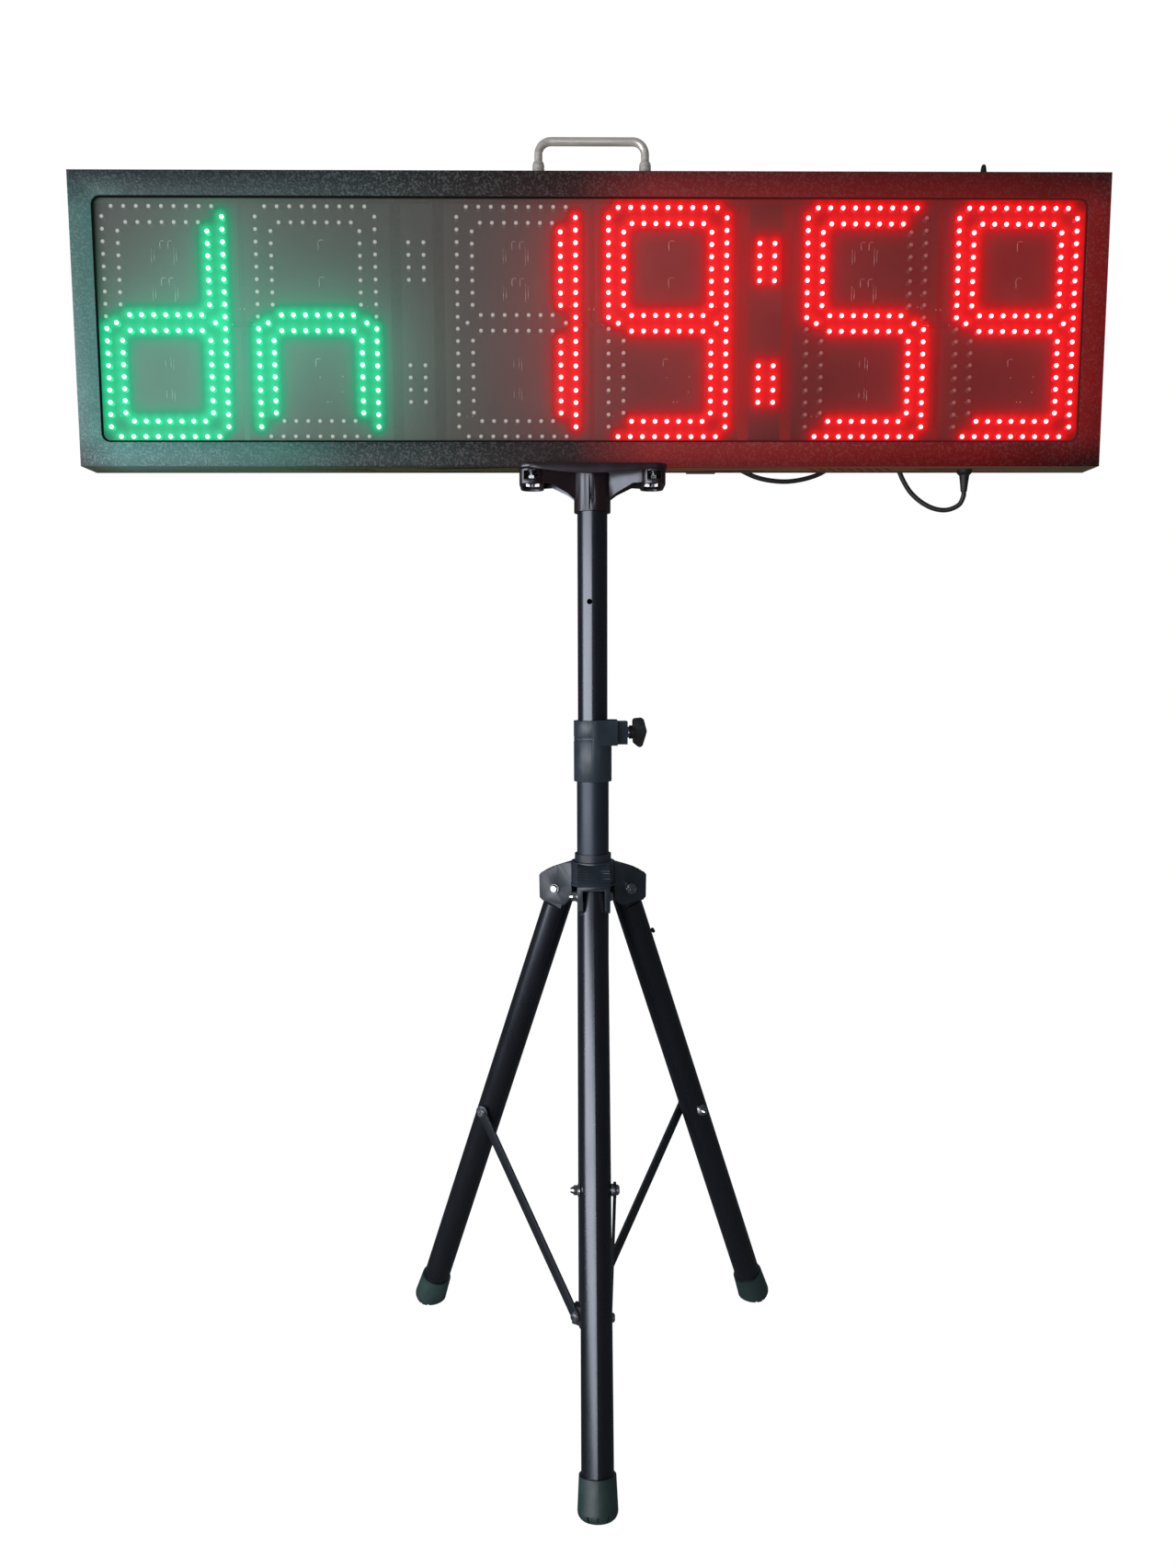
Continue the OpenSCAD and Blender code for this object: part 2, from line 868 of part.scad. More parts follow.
module hub() {
    barrel_top = 632;
    barrel_bottom = 603;
    color("#181b20")
        at_mast()
            difference() {
                union() {
                    translate([0, 0, barrel_bottom])
                        cylinder(r = barrel_r, h = barrel_top - barrel_bottom);
                    translate([0, 0, barrel_bottom])
                        cylinder(r = barrel_r + 1.5, h = 3);
                    for (k = [FRONT, RIGHT, LEFT])
                        rotate([0, 0, leg_azimuth[k]])
                            rotate([90, 0, 0])
                                linear_extrude(2 * cheek_out, center = true)
                                    ear_outline();
                }
                translate([0, 0, 500])
                    cylinder(r = bush_r, h = 200);
                for (k = [FRONT, RIGHT, LEFT])
                    rotate([0, 0, leg_azimuth[k]]) {
                        leg_channel();
                        roof_grooves();
                    }
            }
}

// Side view of one ear: out along X, up along Y
module ear_outline() {
    polygon([
        [bush_r - 2, 588], [30, 577.5], [60, 580.5], [64, 584], [64.5, 611.5], [62, 614.5],
        [54, 619.5], [45, 624], [34, 628], [bush_r - 2, 631]
    ]);
}

// Space under an ear's roof and between its cheeks, in which the top of the leg turns
module leg_channel() {
    rotate([90, 0, 0])
        linear_extrude(2 * cheek_in, center = true)
            polygon([
                [22.8, 560], [70, 560], [70, 605.5], [61, 608], [52, 613], [40, 617.5], [26, 617.5], [22.8, 609]
            ]);
    translate([pivot_r, 0, pivot_z])
        rod_y(bolt_r + bolt_gap, -30, 30);
}

// Grip grooves across the top of an ear, on both sides of a plain middle strip
module roof_grooves() {
    for (i = [0 : 5], sy = [-1, 1])
        translate([36 + i * 4.6, sy * 13.5, 628.2 - i * 2.15])
            rotate([0, 25, 0])
                cube([1.8, 12, 3.4], center = true);
}

module hub_bush() {
    color("#23262b")
        at_mast() {
            tube(bush_r, lower_r + slide_gap, 606, 632);
            tube(21.8, lower_r + slide_gap, 632, 641);
        }
}

module leg_pivot_bolts() {
    color("#d2d4d6")
        for (k = [FRONT, RIGHT, LEFT])
            at_azimuth(k)
                translate([pivot_r, 0, pivot_z]) {
                    rod_y(bolt_r, -cheek_out - 5, cheek_out);
                    bolt_head(cheek_out);
                    acorn_nut(-cheek_out);
                }
}

// ---------- legs and struts ----------

module leg_tube(k) {
    color("#0f1114")
        at_leg(k) {
            difference() {
                tube(leg_r, leg_r - tube_wall, -leg_l + 4, leg_above);
                for (sy = [-1, 1])
                    translate([-30, sy > 0 ? slot_half : -slot_half - 20, -slot_l])
                        cube([60, 20, 60]);
                translate([0, 0, -strut_at])
                    rod_y(bolt_r + bolt_gap, -30, 30);
            }
            if (k == RIGHT)
                translate([leg_r - 0.8, 0, -73]) {
                    rod_x(1.6, 0, 4.5);
                    rod_x(3.4, 4.5, 6.3);
                }
        }
}

// Plastic knuckle inside the top of the leg, which turns on the pivot bolt
module leg_knuckle(k) {
    color("#202226")
        at_leg(k)
            difference() {
                intersection() {
                    translate([0, 0, -40])
                        cylinder(r = leg_r - tube_wall, h = 40 + leg_above - 2);
                    union() {
                        translate([-20, -slot_half, -slot_l - 1])
                            cube([40, 2 * slot_half, 60]);
                        translate([-20, -20, -41])
                            cube([40, 40, 41 - slot_l]);
                    }
                }
                rod_y(bolt_r + bolt_gap, -30, 30);
            }
}

// Half section of a foot, with a tapering sleeve and a rounded sole
module foot_profile() {
    corner = [for (a = [-90 : 15 : 0]) foot_corner * [cos(a), sin(a)]];
    sole_edge = [foot_r - foot_corner, foot_corner - foot_sole];
    polygon(concat(
        [[0, foot_sleeve], [0, -foot_sole]],
        [for (c = corner) sole_edge + c],
        [[leg_r + 2.4, foot_sleeve]]
    ));
}

// Rubber foot over the end of a leg's tube, with grooves round its sole, cut level where it stands on the floor
module leg_foot(k) {
    color("#15201c")
        difference() {
            at_leg(k)
                difference() {
                    translate([0, 0, -leg_l])
                        rotate_extrude($fn = 64)
                            foot_profile();
                    translate([0, 0, -leg_l + 4])
                        cylinder(r = leg_r, h = 60);
                    for (a = [0 : 30 : 330])
                        rotate([0, 0, a])
                            translate([foot_r - 2, 0, 4 - leg_l - foot_sole])
                                cube([7, 2, 9], center = true);
                }
            translate([-500, -500, -60])
                cube([1000, 1000, 60]);
        }
}

// Bolt through the leg that holds the strut, with its spacer and closed nut
module leg_strut_nut(k) {
    color("#cdd0d2")
        at_leg(k)
            translate([0, 0, -strut_at]) {
                rod_y(bolt_r, -leg_r - 4, strut_in - 0.3);
                rod_y(6.5, leg_r + 0.1, strut_in - 0.3);
                acorn_nut(-leg_r - 1.4);
                rod_y(7, -leg_r - 1.4, -leg_r - 0.1);
            }
}

module strut(k) {
    color("#14161a")
        at_strut(k)
            translate([0, strut_in + strut_t, 0])
                rotate([90, 0, 0])
                    linear_extrude(strut_t)
                        difference() {
                            union() {
                                circle(r = 6.2);
                                translate([-strut_w / 2, 0])
                                    square([strut_w, strut_l]);
                                translate([0, strut_l])
                                    circle(r = strut_eye_r);
                            }
                            circle(r = bolt_r + bolt_gap);
                            translate([0, strut_l])
                                circle(r = bolt_r + bolt_gap);
                        }
}

// Head of the strut's upper bolt, which turns with the strut
module strut_bolt(k) {
    color("#cfd1d3")
        at_strut(k)
            translate([0, 0, strut_l]) {
                rod_y(bolt_r, strut_in, strut_in + strut_t);
                bolt_head(strut_in + strut_t);
            }
}

front_frame();
rear_cover();
rear_cover_screws();
window();
window_gasket();
digit_board(0);  // digit_board_1
digit_board(1);  // digit_board_2
digit_board(2);  // digit_board_3
digit_board(3);  // digit_board_4
digit_board(4);  // digit_board_5
digit_board(5);  // digit_board_6
colon_boards();
leds_green();
leds_red();
leds_unlit();
board_standoffs();
board_links();
controller_board();
power_supply();
carry_handle();
handle_ferrules();
handle_screws();
remote_antenna();
lead_boot();
power_lead();
lead_clip();
lead_inlet();
mount_bracket();
bracket_bolts();
bracket_set_screw();
upper_tube();
guide_bush();
lower_tube();
mast_collar();
clamp_pad();
spider();
strut_pivot_bolts();
wing_knob();
knob_screw();
hub();
hub_bush();
leg_pivot_bolts();
leg_tube(FRONT);  // leg_front_tube
leg_knuckle(FRONT);  // leg_front_knuckle
leg_foot(FRONT);  // leg_front_foot
leg_strut_nut(FRONT);  // leg_front_strut_nut
leg_tube(RIGHT);  // leg_right_tube
leg_knuckle(RIGHT);  // leg_right_knuckle
leg_foot(RIGHT);  // leg_right_foot
leg_strut_nut(RIGHT);  // leg_right_strut_nut
leg_tube(LEFT);  // leg_left_tube
leg_knuckle(LEFT);  // leg_left_knuckle
leg_foot(LEFT);  // leg_left_foot
leg_strut_nut(LEFT);  // leg_left_strut_nut
strut(FRONT);  // strut_front
strut_bolt(FRONT);  // strut_front_bolt
strut(RIGHT);  // strut_right
strut_bolt(RIGHT);  // strut_right_bolt
strut(LEFT);  // strut_left
strut_bolt(LEFT);  // strut_left_bolt
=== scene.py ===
import math

import bmesh
import bpy
import numpy as np
from mathutils import Matrix, Vector


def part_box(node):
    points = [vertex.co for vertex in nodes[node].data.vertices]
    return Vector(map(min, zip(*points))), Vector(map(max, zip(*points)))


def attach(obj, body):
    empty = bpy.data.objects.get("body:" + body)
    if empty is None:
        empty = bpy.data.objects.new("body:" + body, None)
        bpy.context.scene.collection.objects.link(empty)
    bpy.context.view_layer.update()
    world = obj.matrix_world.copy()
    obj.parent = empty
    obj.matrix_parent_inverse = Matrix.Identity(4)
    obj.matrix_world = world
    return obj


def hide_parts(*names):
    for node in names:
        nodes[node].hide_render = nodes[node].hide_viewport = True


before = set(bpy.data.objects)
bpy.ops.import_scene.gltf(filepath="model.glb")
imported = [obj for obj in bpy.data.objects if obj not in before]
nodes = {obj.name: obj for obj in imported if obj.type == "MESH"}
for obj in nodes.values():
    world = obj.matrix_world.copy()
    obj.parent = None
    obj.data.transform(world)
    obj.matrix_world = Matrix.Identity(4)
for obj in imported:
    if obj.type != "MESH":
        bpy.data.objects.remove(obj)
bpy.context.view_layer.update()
scene = bpy.context.scene
MM = 0.001


def link(obj):
    scene.collection.objects.link(obj)
    return obj


# ---------- camera, placed from the LEDs' tips and the middle of the cabinet ----------

led_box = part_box("leds_unlit")
frame_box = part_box("front_frame")
mast_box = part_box("upper_tube")
MAST_Y = (mast_box[0].y + mast_box[1].y) / 2
TIP_Y = led_box[0].y
MID_Z = (frame_box[0].z + frame_box[1].z) / 2

cam_data = bpy.data.cameras.new("camera")
cam = link(bpy.data.objects.new("camera", cam_data))
cam_data.sensor_fit = "VERTICAL"
cam_data.sensor_height = 36
cam_data.lens = 24.415
cam_data.clip_end = 200
YAW, PITCH, ROLL = 0.0106, 0.1020, -0.0022
CAMERA_LEFT, CAMERA_BACK, CAMERA_BELOW = 0.0191, 1.2494, 0.3967
forward = Vector((math.sin(YAW) * math.cos(PITCH), math.cos(YAW) * math.cos(PITCH), -math.sin(PITCH)))
cam.matrix_world = (
    Matrix.Translation((-CAMERA_LEFT, TIP_Y - CAMERA_BACK, MID_Z - CAMERA_BELOW))
    @ forward.to_track_quat("-Z", "Y").to_matrix().to_4x4()
    @ Matrix.Rotation(ROLL, 4, "Z")
)
scene.camera = cam
scene.view_settings.view_transform = "Standard"


# ---------- light and floor ----------

# The camera sees the world as white, and it lights the object only dimly.
world = bpy.data.worlds.new("world")
scene.world = world
world.use_nodes = True
wt = world.node_tree
wt.nodes.clear()
w_out = wt.nodes.new("ShaderNodeOutputWorld")
w_mix = wt.nodes.new("ShaderNodeMixShader")
w_path = wt.nodes.new("ShaderNodeLightPath")
w_seen = wt.nodes.new("ShaderNodeBackground")
w_lit = wt.nodes.new("ShaderNodeBackground")
w_seen.inputs["Color"].default_value = (1, 1, 1, 1)
w_lit.inputs["Color"].default_value = (0.80, 0.86, 0.95, 1)
w_lit.inputs["Strength"].default_value = 0.05
wt.links.new(w_path.outputs["Is Camera Ray"], w_mix.inputs[0])
wt.links.new(w_lit.outputs[0], w_mix.inputs[1])
wt.links.new(w_seen.outputs[0], w_mix.inputs[2])
wt.links.new(w_mix.outputs[0], w_out.inputs[0])


def area(name, place, target, size, size_y, power, colour=(1, 1, 1)):
    data = bpy.data.lights.new(name, "AREA")
    data.shape = "RECTANGLE"
    data.size, data.size_y = size, size_y
    data.energy = power
    data.color = colour
    obj = link(bpy.data.objects.new(name, data))
    obj.location = place
    obj.rotation_euler = (Vector(target) - Vector(place)).to_track_quat("-Z", "Y").to_euler()
    obj.visible_camera = False
    return obj


def fill(*args):
    """A light that adds no highlight of its own."""
    area(*args).visible_glossy = False


area("window_light", (-1.85, -1.95, 0.83), (0, MAST_Y, 0.83), 3.9, 1.45, 130, (0.90, 0.93, 1.0))
fill("left_light", (-2.0, -0.7, 1.1), (-0.4, MAST_Y, 1.1), 0.7, 1.1, 16, (0.86, 0.95, 1.0))
fill("top_light", (-0.4, -0.3, 3.4), (0, MAST_Y, 1.0), 3.0, 2.2, 40, (1, 1, 1))
fill("back_light", (1.4, 3.0, 2.0), (0, MAST_Y, 0.9), 2.6, 2.2, 170, (1, 1, 1))
fill("right_light", (3.2, 0.6, 1.4), (0, MAST_Y, 0.9), 1.6, 2.2, 14, (1, 1, 1))

FLOOR_HALF = 9.0
bpy.ops.mesh.primitive_plane_add(size=2 * FLOOR_HALF, location=(0, 0, 0))
floor = bpy.context.object
floor.name = "floor"
floor.visible_glossy = False
floor.visible_shadow = False


# ---------- materials ----------

class Paint:
    """A Principled material, with helpers that add noise, light and shade to it."""

    def __init__(self, name, colour, rough, metal=0.0, coat=0.0, coat_rough=0.1, specular=0.5):
        self.mat = bpy.data.materials.new(name)
        self.mat.use_nodes = True
        self.tree = self.mat.node_tree
        self.tree.nodes.clear()
        out = self.tree.nodes.new("ShaderNodeOutputMaterial")
        self.bsdf = self.tree.nodes.new("ShaderNodeBsdfPrincipled")
        self.join(self.bsdf.outputs[0], out.inputs[0])
        self.set("Base Color", (*colour, 1))
        self.set("Roughness", rough)
        self.set("Metallic", metal)
        self.set("Coat Weight", coat)
        self.set("Coat Roughness", coat_rough)
        self.set("Specular IOR Level", specular)
        self.coords = self.tree.nodes.new("ShaderNodeTexCoord")
        self.bump = None

    def set(self, socket, value):
        self.bsdf.inputs[socket].default_value = value

    def join(self, a, b):
        self.tree.links.new(a, b)

    def place(self, stretch=(1, 1, 1)):
        """Object coordinates, stretched along each axis."""
        mapping = self.tree.nodes.new("ShaderNodeMapping")
        mapping.inputs["Scale"].default_value = stretch
        self.join(self.coords.outputs["Object"], mapping.inputs["Vector"])
        return mapping.outputs[0]

    def noise(self, scale, detail=3.0, stretch=(1, 1, 1)):
        n = self.tree.nodes.new("ShaderNodeTexNoise")
        n.inputs["Scale"].default_value = scale
        n.inputs["Detail"].default_value = detail
        self.join(self.place(stretch), n.inputs["Vector"])
        return n.outputs["Fac"]

    def spread(self, value, low, high, to_low, to_high):
        m = self.tree.nodes.new("ShaderNodeMapRange")
        m.inputs["From Min"].default_value = low
        m.inputs["From Max"].default_value = high
        m.inputs["To Min"].default_value = to_low
        m.inputs["To Max"].default_value = to_high
        self.join(value, m.inputs["Value"])
        return m.outputs[0]

    def across(self, axis, low, high):
        """An object coordinate, 0 at low and 1 at high."""
        split = self.tree.nodes.new("ShaderNodeSeparateXYZ")
        self.join(self.place(), split.inputs[0])
        return self.spread(split.outputs[axis], low, high, 0, 1)

    def facing(self, direction):
        """How far the surface faces a direction, as a dot product."""
        node = self.tree.nodes.new("ShaderNodeVectorMath")
        node.operation = "DOT_PRODUCT"
        self.join(self.coords.outputs["Normal"], node.inputs[0])
        node.inputs[1].default_value = direction
        return node.outputs["Value"]

    def attribute(self, name):
        """A number that the mesh holds at each of its points."""
        node = self.tree.nodes.new("ShaderNodeAttribute")
        node.attribute_name = name
        return node.outputs["Fac"]

    def ramp(self, value, stops):
        """A colour that changes with a value; stops are (place from 0 to 1, linear colour)."""
        node = self.tree.nodes.new("ShaderNodeValToRGB")
        line = node.color_ramp.elements
        while len(line) < len(stops):
            line.new(0.5)
        for element, (at, colour) in zip(line, stops):
            element.position = at
            element.color = (*colour, 1)
        self.join(value, node.inputs[0])
        return node.outputs["Color"]

    def blend(self, kind, a, b, factor=1.0):
        mix = self.tree.nodes.new("ShaderNodeMix")
        mix.data_type = "RGBA"
        mix.blend_type = kind
        for value, socket in ((a, mix.inputs["A"]), (b, mix.inputs["B"]), (factor, mix.inputs["Factor"])):
            if hasattr(value, "is_linked"):
                self.join(value, socket)
            else:
                socket.default_value = value
        return mix.outputs["Result"]

    def recolour(self, kind, other, factor=1.0):
        """Blends the base colour, as it is so far, with another colour."""
        source = self.bsdf.inputs["Base Color"]
        before = source.links[0].from_socket if source.is_linked else tuple(source.default_value)
        self.join(self.blend(kind, before, other, factor), source)

    def times(self, other):
        self.recolour("MULTIPLY", other)

    def vary_colour(self, other, scale, low=0.35, high=0.7, stretch=(1, 1, 1), detail=4.0):
        """Brings in another colour where the noise rises from low to high."""
        factor = self.spread(self.noise(scale, detail, stretch), low, high, 0, 1)
        self.recolour("MIX", (*other, 1), factor)

    def vary_rough(self, scale, low, high, stretch=(1, 1, 1)):
        noise = self.noise(scale, 4.0, stretch)
        self.join(self.spread(noise, 0.3, 0.7, low, high), self.bsdf.inputs["Roughness"])

    def roughen(self, scale, strength, distance, stretch=(1, 1, 1), detail=3.0):
        b = self.tree.nodes.new("ShaderNodeBump")
        b.inputs["Strength"].default_value = strength
        b.inputs["Distance"].default_value = distance
        self.join(self.noise(scale, detail, stretch), b.inputs["Height"])
        if self.bump is not None:
            self.join(self.bump.outputs[0], b.inputs["Normal"])
        self.join(b.outputs[0], self.bsdf.inputs["Normal"])
        self.bump = b

    def shine(self, colour, strength=1.0):
        """Light from the surface itself; the colour is a constant or a node's socket."""
        socket = self.bsdf.inputs["Emission Color"]
        if hasattr(colour, "is_linked"):
            self.join(colour, socket)
        else:
            socket.default_value = (*colour, 1)
        self.set("Emission Strength", strength)


def shade(colour, factor):
    return tuple(c * factor for c in colour)


def powder_coat(name, colour, light, rough):
    """Paint with a fine leather grain, and a painted highlight that makes the grain's tops lighter."""
    grain = 470
    p = Paint(name, colour, rough, specular=0.45)
    # Painted highlight: the colour is lighter where the grain rises, as the bump below uses the same
    # noise
    p.vary_colour(light, grain, 0.5, 0.62, detail=2)
    p.vary_colour(shade(colour, 0.7), 3.0, 0.45, 0.8)
    p.roughen(grain, 0.9, 0.0010, detail=2)
    p.vary_rough(60, rough - 0.06, rough + 0.08)
    return p


def tube_paint(name, colour, rough, coat=0.5):
    """Glossy black paint on drawn tube, with faint streaks along it."""
    p = Paint(name, colour, rough, coat=coat, coat_rough=0.2, specular=0.6)
    p.set("Specular Tint", (0.80, 0.87, 1.0, 1))
    p.vary_colour((colour[0] * 1.6, colour[1] * 1.6, colour[2] * 1.7), 9, 0.55, 0.8)
    p.vary_rough(45, rough - 0.04, rough + 0.05, (1, 1, 0.25))
    p.roughen(900, 0.03, 0.0002, detail=1)
    p.roughen(30, 0.03, 0.002, (1, 1, 0.1))
    return p


def moulded(name, colour, rough, grain=900, depth=0.12, specular=0.45):
    """Moulded plastic or rubber, or a varnished board, with a fine grain."""
    p = Paint(name, colour, rough, specular=specular)
    p.vary_colour(shade(colour, 1.9), 22, 0.5, 0.8)
    p.vary_rough(70, rough - 0.07, rough + 0.09)
    p.roughen(grain, depth, 0.0004, detail=2)
    return p


def metal(name, colour, rough, stretch=(1, 1, 1), scale=300, metallic=1.0):
    """Bare or plated metal, brushed where the noise is stretched."""
    p = Paint(name, colour, rough, metal=metallic)
    dull = (colour[0] * 0.62, colour[1] * 0.62, colour[2] * 0.64)
    p.vary_colour(dull, scale * 0.3, 0.45, 0.75, stretch)
    p.vary_rough(scale, rough - 0.08, rough + 0.12, stretch)
    p.roughen(scale * 2, 0.12, 0.0003, stretch)
    return p


paints = {
    "cabinet": powder_coat("cabinet_paint", (0.0115, 0.014, 0.0145), (0.052, 0.062, 0.064), 0.5),
    "tube": tube_paint("tube_paint", (0.004, 0.0045, 0.0062), 0.27),
    "lower_tube": tube_paint("satin_tube_paint", (0.006, 0.009, 0.013), 0.44, coat=0.0),
    "strut": tube_paint("strut_paint", (0.005, 0.006, 0.007), 0.40),
    # The bracket's dark paint is tinted red: painted light of the red LEDs above it.
    "bracket": tube_paint("bracket_paint", (0.008, 0.003, 0.0035), 0.34, coat=0.35),
    "hub": moulded("hub_plastic", (0.010, 0.0135, 0.019), 0.40),
    "collar": moulded("collar_plastic", (0.012, 0.018, 0.025), 0.44),
    "plastic": moulded("black_plastic", (0.013, 0.014, 0.015), 0.45),
    "knob": moulded("knob_plastic", (0.007, 0.007, 0.008), 0.17, 500, 0.04),
    "rubber": moulded("foot_rubber", (0.010, 0.021, 0.020), 0.45, 500, 0.25),
    "gasket": moulded("gasket_rubber", (0.003, 0.003, 0.003), 0.8, specular=0.05),
    "lead": moulded("lead_rubber", (0.008, 0.006, 0.006), 0.5, 700, 0.1, specular=0.25),
    "zinc": metal("zinc_steel", (0.80, 0.81, 0.83), 0.24),
    "black_steel": metal("black_steel", (0.05, 0.05, 0.055), 0.35),
    "handle": metal("handle_steel", (0.46, 0.42, 0.38), 0.34, (0.06, 1, 1), 900, 0.55),
    "brass": metal("brass", (0.72, 0.52, 0.22), 0.30),
    "aluminium": metal("power_supply_case", (0.62, 0.63, 0.64), 0.34),
    "board": moulded("circuit_board", (0.015, 0.016, 0.015), 0.5, 300, 0.08),
    "controller": moulded("controller_board", (0.012, 0.085, 0.034), 0.4, 300, 0.1),
}


BLACK = (0, 0, 0)
WHITE = (1, 1, 1)

# Colours along the cabinet's width, from its left end: how much daylight it gets, and the light of the
# green and red LEDs on the metal above, below and at the ends of the window.
DAYLIGHT = [
    (0.0, WHITE), (0.25, (0.8, 0.8, 0.8)), (0.4, (0.62, 0.48, 0.45)), (0.48, (0.58, 0.42, 0.4)),
    (0.56, (0.32, 0.26, 0.26)), (0.75, (0.24, 0.18, 0.18)), (1.0, (0.2, 0.15, 0.15)),
]
SPILL_TOP = [
    (0.0, (0.004, 0.012, 0.014)), (0.3, (0.0, 0.004, 0.003)), (0.4, (0.004, 0, 0)), (0.48, (0.02, 0, 0)),
    (0.56, (0.16, 0.012, 0.012)), (0.75, (0.13, 0.007, 0.007)), (0.9, (0.11, 0.006, 0.006)),
    (1.0, (0.045, 0.004, 0.004)),
]
SPILL_BOTTOM = [
    (0.0, (0.0, 0.01, 0.01)), (0.04, (0.05, 0.2, 0.18)), (0.1, (0.04, 0.17, 0.15)),
    (0.19, (0.02, 0.13, 0.10)), (0.27, (0.0, 0.015, 0.01)), (0.38, BLACK), (0.48, (0.01, 0, 0)),
    (0.56, (0.21, 0.013, 0.013)), (0.88, (0.14, 0.003, 0.003)), (1.0, (0.014, 0.002, 0.002)),
]
SPILL_ENDS = [
    (0.0, (0.07, 0.18, 0.16)), (0.035, (0.04, 0.13, 0.11)), (0.06, BLACK), (0.94, BLACK),
    (0.965, (0.16, 0.004, 0.004)), (1.0, (0.14, 0.003, 0.003)),
]
# The same, from the cabinet's lower edge to its upper one: the light at the ends is strongest at
# mid-height, and all of the light falls off away from the window.
MIDDLE = [(0.0, BLACK), (0.25, (0.9, 0.9, 0.9)), (0.8, (0.7, 0.7, 0.7)), (1.0, BLACK)]
FALL_OFF = [
    (0.0, (0.6, 0.6, 0.6)), (0.11, (1.5, 1.5, 1.5)), (0.2, WHITE), (0.8, WHITE), (0.88, (1.4, 1.4, 1.4)),
    (1.0, (0.6, 0.6, 0.6)),
]
FRONT_AND_BELOW = (0, -1, -0.55)
UNDERSIDE_LIGHT = (0.03, 0.026, 0.012, 1)
# Height of the band along the cabinet's lower edge where its paint is darker
LOWER_EDGE_BAND = 1.6 * MM
GASKET_LIGHT = [(0.45, BLACK), (0.6, (0.05, 0.002, 0.002)), (1.0, (0.09, 0.003, 0.003))]


def light_cabinet(p):
    """Adds the LEDs' light, as painted light, to the cabinet's front and underside, paints the daylight's
    shade across its front, and darkens it along its lower edge.
    """
    x = p.across(0, frame_box[0].x, frame_box[1].x)
    z = p.across(2, frame_box[0].z, frame_box[1].z)
    lower_edge_band = p.across(2, frame_box[0].z, frame_box[0].z + LOWER_EDGE_BAND)
    front = p.spread(p.facing(FRONT_AND_BELOW), 0.2, 1.0, 0, 1)
    daylight = p.blend("MIX", (*WHITE, 1), p.ramp(x, DAYLIGHT), front)
    p.times(daylight)
    p.join(p.spread(daylight, 0.15, 1, 0.02, 0.32), p.bsdf.inputs["Specular IOR Level"])
    p.times(p.ramp(lower_edge_band, [(0.0, (0.5, 0.5, 0.5)), (1.0, WHITE)]))
    spill = p.blend("MIX", p.ramp(x, SPILL_BOTTOM), p.ramp(x, SPILL_TOP), z)
    spill = p.blend("ADD", spill, p.blend("MULTIPLY", p.ramp(x, SPILL_ENDS), p.ramp(z, MIDDLE)))
    spill = p.blend("MULTIPLY", spill, p.ramp(z, FALL_OFF))
    below = p.spread(p.facing((0, 0, 1)), -0.7, -0.95, 0, 1)
    below_light = p.blend("MIX", (*BLACK, 1), UNDERSIDE_LIGHT, below)
    p.shine(p.blend("ADD", p.blend("MIX", (*BLACK, 1), spill, front), below_light))


def light_gasket(p):
    p.shine(p.ramp(p.across(0, frame_box[0].x, frame_box[1].x), GASKET_LIGHT))


light_cabinet(paints["cabinet"])
light_gasket(paints["gasket"])

LEGS = ("front", "right", "left")
USE = {
    "cabinet": ["front_frame", "rear_cover"],
    "lower_tube": ["lower_tube"],
    "tube": ["upper_tube"] + ["leg_%s_tube" % leg for leg in LEGS],
    "strut": ["strut_%s" % leg for leg in LEGS],
    "bracket": ["mount_bracket"],
    "hub": ["hub", "hub_bush"],
    "collar": ["mast_collar"],
    "plastic": ["guide_bush", "spider", "lead_clip", "lead_inlet", "board_links"]
    + ["leg_%s_knuckle" % leg for leg in LEGS],
    "knob": ["wing_knob"],
    "rubber": ["leg_%s_foot" % leg for leg in LEGS],
    "gasket": ["window_gasket"],
    "lead": ["lead_boot", "power_lead", "remote_antenna"],
    "zinc": ["rear_cover_screws", "bracket_bolts", "leg_pivot_bolts", "strut_pivot_bolts",
             "handle_screws", "board_standoffs", "knob_screw"]
    + ["leg_%s_strut_nut" % leg for leg in LEGS] + ["strut_%s_bolt" % leg for leg in LEGS],
    "black_steel": ["bracket_set_screw"],
    "handle": ["carry_handle", "handle_ferrules"],
    "brass": ["clamp_pad"],
    "aluminium": ["power_supply"],
    "board": ["digit_board_%d" % i for i in range(1, 7)] + ["colon_boards"],
    "controller": ["controller_board"],
}
floor_paint = Paint("floor", (0.030, 0.030, 0.030), 0.9, specular=0.0)
floor_paint.vary_colour((0.026, 0.026, 0.026), 3)
floor_paint.shine(WHITE)
floor.data.materials.append(floor_paint.mat)
for paint_name, names in USE.items():
    for node_name in names:
        materials = nodes[node_name].data.materials
        materials.clear()
        materials.append(paints[paint_name].mat)


# ---------- rounded edges on the CAD's pieces ----------

# Nodes by the width of their bevel in millimetres
EDGES = {
    0.5: ["front_frame", "mast_collar", "spider"] + ["strut_%s" % leg for leg in LEGS],
    0.8: ["hub", "mount_bracket"],
}
BEVEL_FROM = math.radians(38)
for width, names in EDGES.items():
    for node_name in names:
        obj = nodes[node_name]
        obj.data.shade_smooth()
        obj.modifiers.new("weld", "WELD").merge_threshold = 0.00001
        bevel = obj.modifiers.new("bevel", "BEVEL")
        bevel.width = width * MM
        bevel.segments = 2
        bevel.limit_method = "ANGLE"
        bevel.angle_limit = BEVEL_FROM
        bevel.harden_normals = True


# ---------- small tools for making pieces ----------

def finish_mesh(bm, name, body, materials, smooth=True):
    mesh = bpy.data.meshes.new(name)
    bmesh.ops.recalc_face_normals(bm, faces=bm.faces)
    bm.to_mesh(mesh)
    bm.free()
    for m in materials:
        mesh.materials.append(m)
    if smooth:
        for p in mesh.polygons:
            p.use_smooth = True
    obj = link(bpy.data.objects.new(name, mesh))
    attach(obj, body)
    return obj


